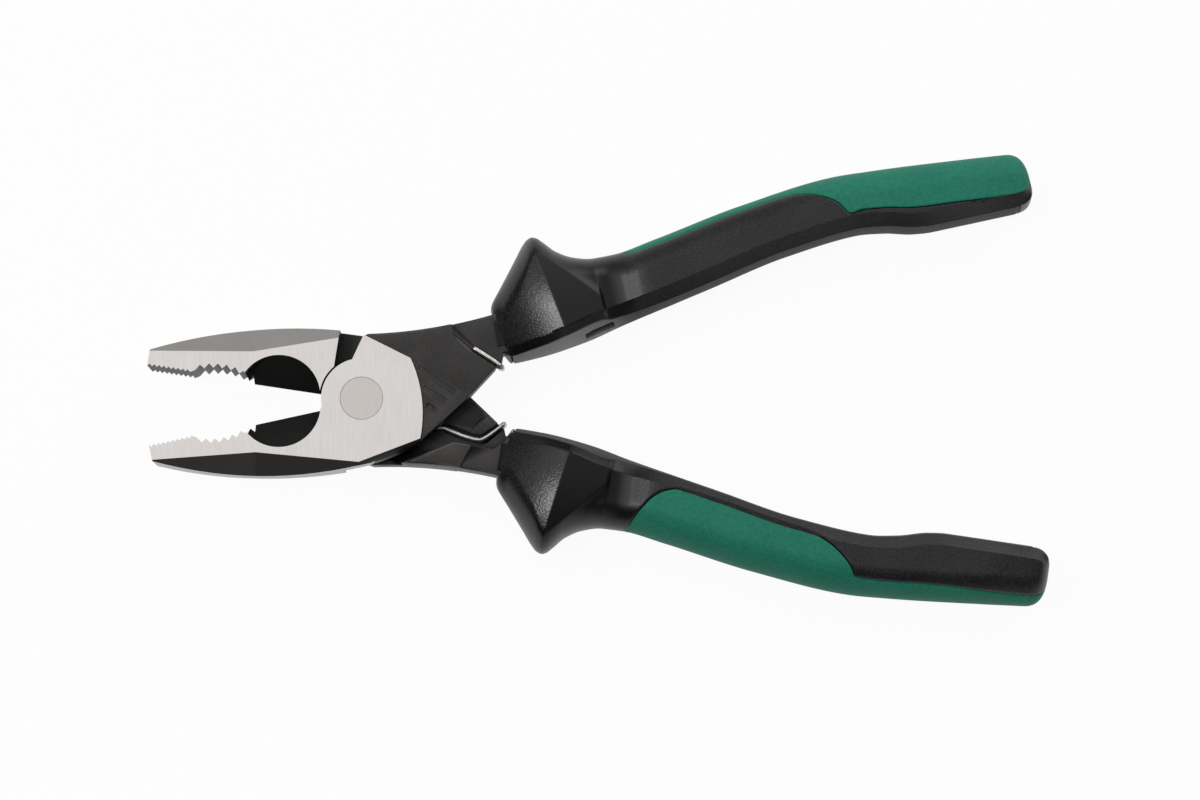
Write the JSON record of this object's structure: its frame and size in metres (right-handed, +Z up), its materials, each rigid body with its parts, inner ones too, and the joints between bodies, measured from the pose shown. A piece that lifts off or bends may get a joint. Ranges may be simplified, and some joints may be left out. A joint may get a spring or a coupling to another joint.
{
  "type": "combination pliers",
  "caption": "Combination pliers with a riveted lap joint, toothed and cutting jaws, a wire spring that opens them, and two-colour moulded grips with finger guards.",
  "frame": {"origin": "bottom centre of the box around the tool as it lies open on its side", "axes": "+X along the tool from the jaws to the handles, +Y from the lower handle to the upper one, +Z up along the rivet's axis"},
  "size_m": [0.195, 0.0986, 0.0208],
  "materials": {
    "black_steel": "black phosphated forging with ground faces",
    "bright_steel": "ground and plain drawn steel",
    "grip_core": "smooth hard plastic",
    "grip_black": "fine-grained soft moulding",
    "grip_green": "fine-grained soft moulding"
  },
  "bodies": {
    "front_half": {"front_lever": "black_steel", "pivot_rivet": "bright_steel", "return_spring": "bright_steel", "upper_grip_core": "grip_core", "upper_grip_sleeve": "grip_black", "upper_grip_inlay": "grip_green"},
    "rear_half": {"rear_lever": "black_steel", "lower_grip_core": "grip_core", "lower_grip_sleeve": "grip_black", "lower_grip_inlay": "grip_green"}
  },
  "joints": [
    {"name": "jaw_hinge", "type": "hinge", "parent": "front_half", "child": "rear_half", "pos_m": [-0.05021, 0, 0.01039], "axis": [0, 0, 1], "range_deg": [-20, 21], "stiffness_Nm_per_rad": 0.25, "deforming": ["return_spring"]}
  ]
}
